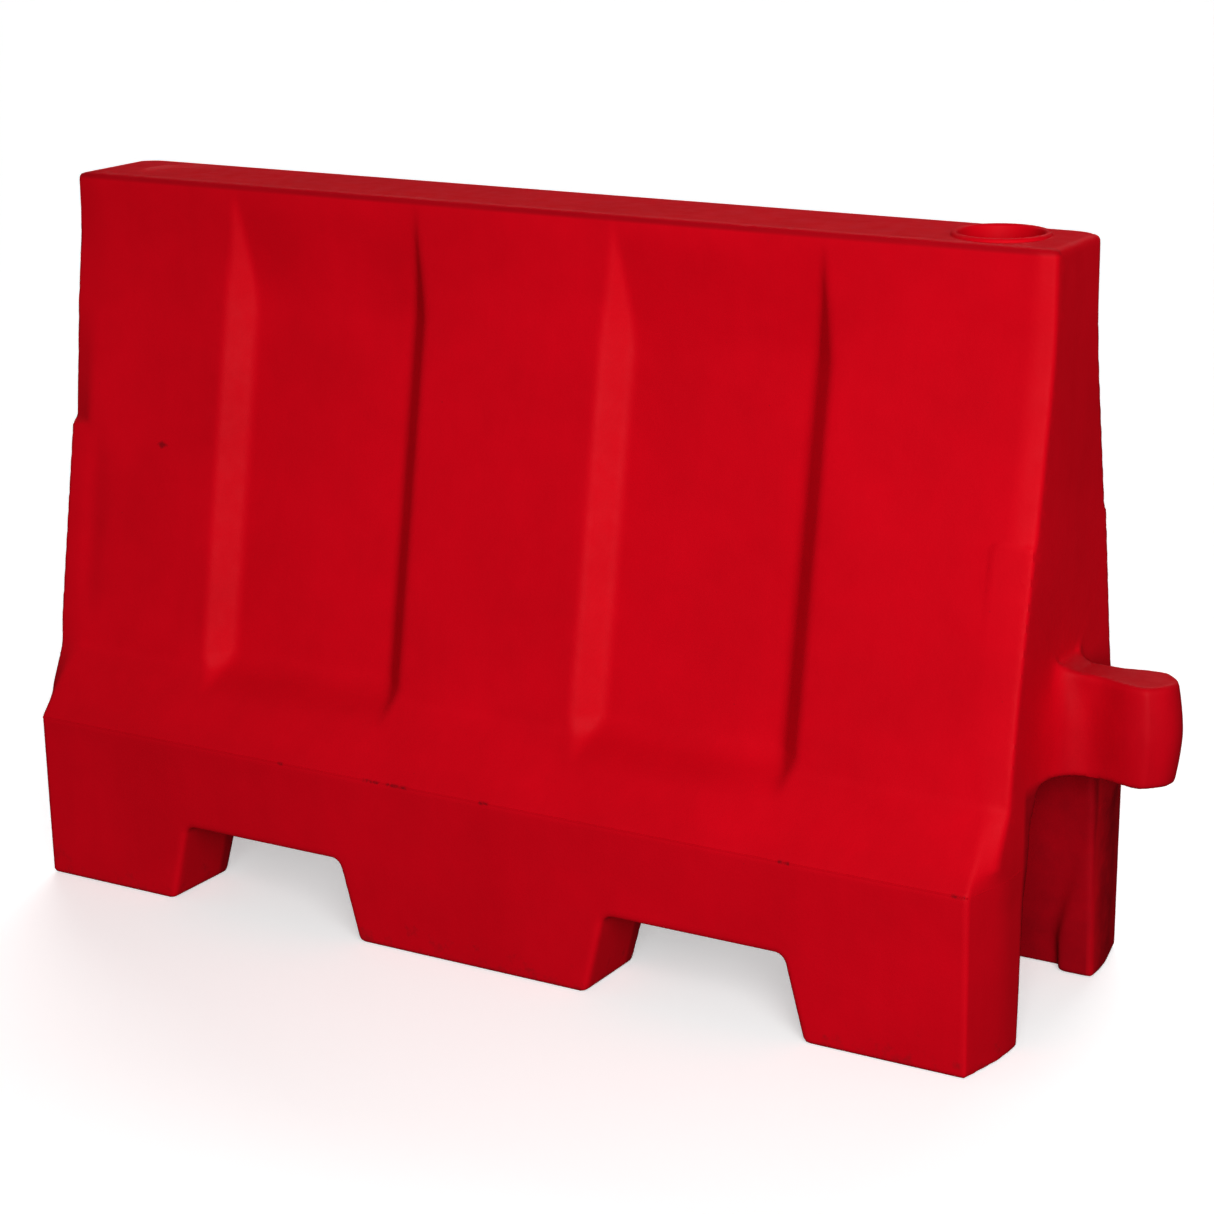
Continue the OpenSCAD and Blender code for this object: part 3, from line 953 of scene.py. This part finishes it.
def plastic(name, light, dark, rough, worn_and_shaded=False):
    """Moulded polyethylene: clouded colour, fine streaks, orange peel, and, when asked, wear and
    painted shade
    """
    material = bpy.data.materials.new(name)
    material.use_nodes = True
    tree = material.node_tree
    shader = tree.nodes["Principled BSDF"]
    where = tree.nodes.new("ShaderNodeTexCoord").outputs["Object"]
    clouds = noise(tree, where, 5.5, 4, 0.6)
    streaks = noise(tree, where, 1.0, 3, 0.6, (46, 46, 4))
    share = calc(
        tree, "ADD", ramp(tree, clouds, 0.3, 0.7, 0, 0.86), ramp(tree, streaks, 0.3, 0.7, 0, 0.14)
    )
    colour = blend_colour(tree, share, dark, light)
    roughness = ramp(tree, noise(tree, where, 38, 4), 0.3, 0.7, rough - 0.05, rough + 0.06)
    if worn_and_shaded:
        colour, dirt = wear_and_painted_shade(tree, where, clouds, colour)
        roughness = calc(tree, "ADD", roughness, product(tree, dirt, 0.3))
    tree.links.new(colour, shader.inputs["Base Color"])
    tree.links.new(roughness, shader.inputs["Roughness"])
    shader.inputs["IOR"].default_value = PLASTIC_IOR
    shader.inputs["Specular Tint"].default_value = SHEEN_TINT
    peel = add_bump(tree, noise(tree, where, 210, 2, 0.5), 0.00035, 0.5)
    waves = add_bump(tree, noise(tree, where, 9, 2, 0.5), 0.004, 0.25, peel)
    tree.links.new(waves, shader.inputs["Normal"])
    return material


def rubber(name):
    """Matt black rubber with a fine grain"""
    material = bpy.data.materials.new(name)
    material.use_nodes = True
    tree = material.node_tree
    shader = tree.nodes["Principled BSDF"]
    where = tree.nodes.new("ShaderNodeTexCoord").outputs["Object"]
    grain = noise(tree, where, 900, 3)
    share = ramp(tree, noise(tree, where, 60, 3), 0.3, 0.7)
    colour = blend_colour(tree, share, RUBBER_DARK, RUBBER_LIGHT)
    tree.links.new(colour, shader.inputs["Base Color"])
    tree.links.new(ramp(tree, grain, 0.3, 0.7, 0.62, 0.78), shader.inputs["Roughness"])
    tree.links.new(add_bump(tree, grain, 0.0002, 0.6), shader.inputs["Normal"])
    return material


def dress(piece, material, slot, body, *nodes):
    """Smooth shading, material, and the body that a piece rides on"""
    piece.data.materials.clear()
    piece.data.materials.append(material)
    piece.data.polygons.foreach_set("use_smooth", [True] * len(piece.data.polygons))
    piece.data.set_sharp_from_angle(angle=SMOOTH_ANGLE)
    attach(piece, body)
    if nodes:
        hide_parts(*nodes)


# ---------------------------------------------------------------- camera, floor and light
CAMERA_PLACE = (MIDDLE + 2.1124, -3.3869, 1.6052)
CAMERA_TURN = (31.02, 16.28, -0.76)    # azimuth, elevation and roll
CAMERA_LENS = 90.04
# Name, azimuth, elevation, strength and softness in degrees of each sun
SUNS = [
    ("key", 30, 14, 1.45, 30),
    ("back", 205, 30, 2.4, 50),
]
SIDE_PLACE = (1.9, -2.3, 1.6)
SIDE_TURN = (40, 22)
SIDE_SIZE = 1.6
SIDE_POWER = 54
SKY_LOW = 0.07
SKY_HIGH = 0.16
FLOOR_COLOUR = (0.9, 0.9, 0.9, 1)
FLOOR_GLOW = 0.42


def aim(thing, azimuth, elevation, roll=0):
    """Turns a camera or light so that it looks back from that azimuth and elevation"""
    az, el = math.radians(azimuth), math.radians(elevation)
    back = Vector((math.sin(az) * math.cos(el), -math.cos(az) * math.cos(el), math.sin(el)))
    right = (-back).cross(Vector((0, 0, 1))).normalized()
    up = right.cross(-back)
    turn = Matrix.Rotation(math.radians(roll), 3, back)
    axes = Matrix((turn @ right, turn @ up, back)).transposed()
    thing.matrix_world = Matrix.Translation(thing.location) @ axes.to_4x4()


def studio():
    """The camera of the photo, a pale floor, two suns, a soft light at the side and the sky"""
    camera = bpy.data.objects.new("camera", bpy.data.cameras.new("camera"))
    camera.location = CAMERA_PLACE
    camera.data.lens = CAMERA_LENS
    camera.data.sensor_width = 36
    camera.data.clip_end = 200
    bpy.context.scene.collection.objects.link(camera)
    aim(camera, *CAMERA_TURN)
    bpy.context.scene.camera = camera

    floor = bmesh.new()
    bmesh.ops.create_grid(floor, x_segments=8, y_segments=8, size=60)
    floor = keep(floor, "floor")
    floor.location.z = -0.0005
    paint = bpy.data.materials.new("floor")
    paint.use_nodes = True
    shader = paint.node_tree.nodes["Principled BSDF"]
    shader.inputs["Base Color"].default_value = FLOOR_COLOUR
    shader.inputs["Roughness"].default_value = 0.9
    shader.inputs["Specular IOR Level"].default_value = 0.0
    shader.inputs["Emission Color"].default_value = (1, 1, 1, 1)
    shader.inputs["Emission Strength"].default_value = FLOOR_GLOW
    floor.data.materials.append(paint)
    floor.visible_diffuse = False
    floor.visible_glossy = False

    for name, azimuth, elevation, strength, softness in SUNS:
        light = bpy.data.objects.new(name, bpy.data.lights.new(name, "SUN"))
        light.data.energy = strength
        light.data.angle = math.radians(softness)
        bpy.context.scene.collection.objects.link(light)
        aim(light, azimuth, elevation)
        light.visible_glossy = name == "key"
    side = bpy.data.objects.new("side", bpy.data.lights.new("side", "AREA"))
    side.data.energy = SIDE_POWER
    side.data.size = SIDE_SIZE
    bpy.context.scene.collection.objects.link(side)
    side.location = SIDE_PLACE
    aim(side, *SIDE_TURN)

    world = bpy.data.worlds.new("studio")
    bpy.context.scene.world = world
    world.use_nodes = True
    tree = world.node_tree
    sky = tree.nodes["Background"]
    sky.inputs["Strength"].default_value = 1.0
    parts = tree.nodes.new("ShaderNodeSeparateXYZ")
    tree.links.new(tree.nodes.new("ShaderNodeTexCoord").outputs["Generated"], parts.inputs[0])
    level = ramp(tree, parts.outputs["Z"], -0.25, 0.35, SKY_LOW, SKY_HIGH)
    # The sky lights the pieces but isn't mirrored in them, and the camera sees it white
    path = tree.nodes.new("ShaderNodeLightPath")
    unseen = calc(tree, "SUBTRACT", 1.0, path.outputs["Is Glossy Ray"])
    level = calc(tree, "MULTIPLY", level, unseen)
    level = calc(tree, "MAXIMUM", level, path.outputs["Is Camera Ray"])
    tree.links.new(level, sky.inputs["Color"])
    bpy.context.scene.view_settings.view_transform = "Standard"


# ---------------------------------------------------------------- building it all
shell_red = plastic("shell_red", SHELL_LIGHT, SHELL_DARK, 0.56, worn_and_shaded=True)
fitting_red = plastic("fitting_red", FITTING_LIGHT, FITTING_DARK, 0.42)
seal_black = rubber("seal_black")

body = moulded_body()
dress(body, shell_red, "shell", "barrier", "barrier_body")
dress(parting_bead(), shell_red, "shell", "barrier")

# The filler: bore, thread and cap
FILLER_BORE_R = 0.034
FILLER_PITCH = 0.006
neck_r = (neck_high.x - neck_low.x) / 2
cap_r = (cap_high.x - cap_low.x) / 2
neck = threaded_ring(
    "neck", FILLER_BORE_R, neck_r - NECK_FLANGE_OUT, neck_r, neck_low.z - WELL_FLOOR,
    FILLER_PITCH, 0.0014
)
dress(place(neck, (WELL.x, 0, WELL_FLOOR)), fitting_red, "fitting", "barrier", "filler_neck")
cap = screw_closure(
    "cap", FILLER_BORE_R - 0.0001, 0.004, cap_r, 0.009, cap_low.z - WELL.z, cap_high.z - WELL.z,
    0.012, FILLER_PITCH, 0.0016
)
dress(place(cap, WELL), fitting_red, "fitting", "filler_cap", "filler_cap")
seal = seal_ring("seal", FILLER_BORE_R + SEAL_GAP, cap_r - SEAL_INSET, WELL.z - neck_high.z)
dress(place(seal, (WELL.x, 0, neck_high.z)), seal_black, "gasket", "filler_gasket", "filler_seal")

# The drain: bore, thread and plug
DRAIN_BORE_R = 0.017
DRAIN_PITCH = 0.004
bush_r = (bush_high.x - bush_low.x) / 2
plug_r = (plug_high.x - plug_low.x) / 2
bush = threaded_ring(
    "bush", DRAIN_BORE_R, bush_r - BUSH_FLANGE_OUT, bush_r, bush_low.y - POCKET_Y, DRAIN_PITCH,
    0.0010
)
place(bush, (DRAIN.x, POCKET_Y, DRAIN.z), "Y")
dress(bush, fitting_red, "fitting", "barrier", "drain_bush")
plug = screw_closure(
    "plug", DRAIN_BORE_R - 0.0001, 0.004, plug_r, 0.006, plug_low.y - DRAIN.y,
    plug_high.y - DRAIN.y, 0.008, DRAIN_PITCH, 0.0011
)
dress(place(plug, DRAIN, "Y"), fitting_red, "fitting", "drain_plug", "drain_plug")
washer = seal_ring("washer", DRAIN_BORE_R + SEAL_GAP, plug_r - SEAL_INSET, DRAIN.y - bush_high.y)
place(washer, (DRAIN.x, bush_high.y, DRAIN.z), "Y")
dress(washer, seal_black, "gasket", "drain_gasket", "drain_seal")

studio()
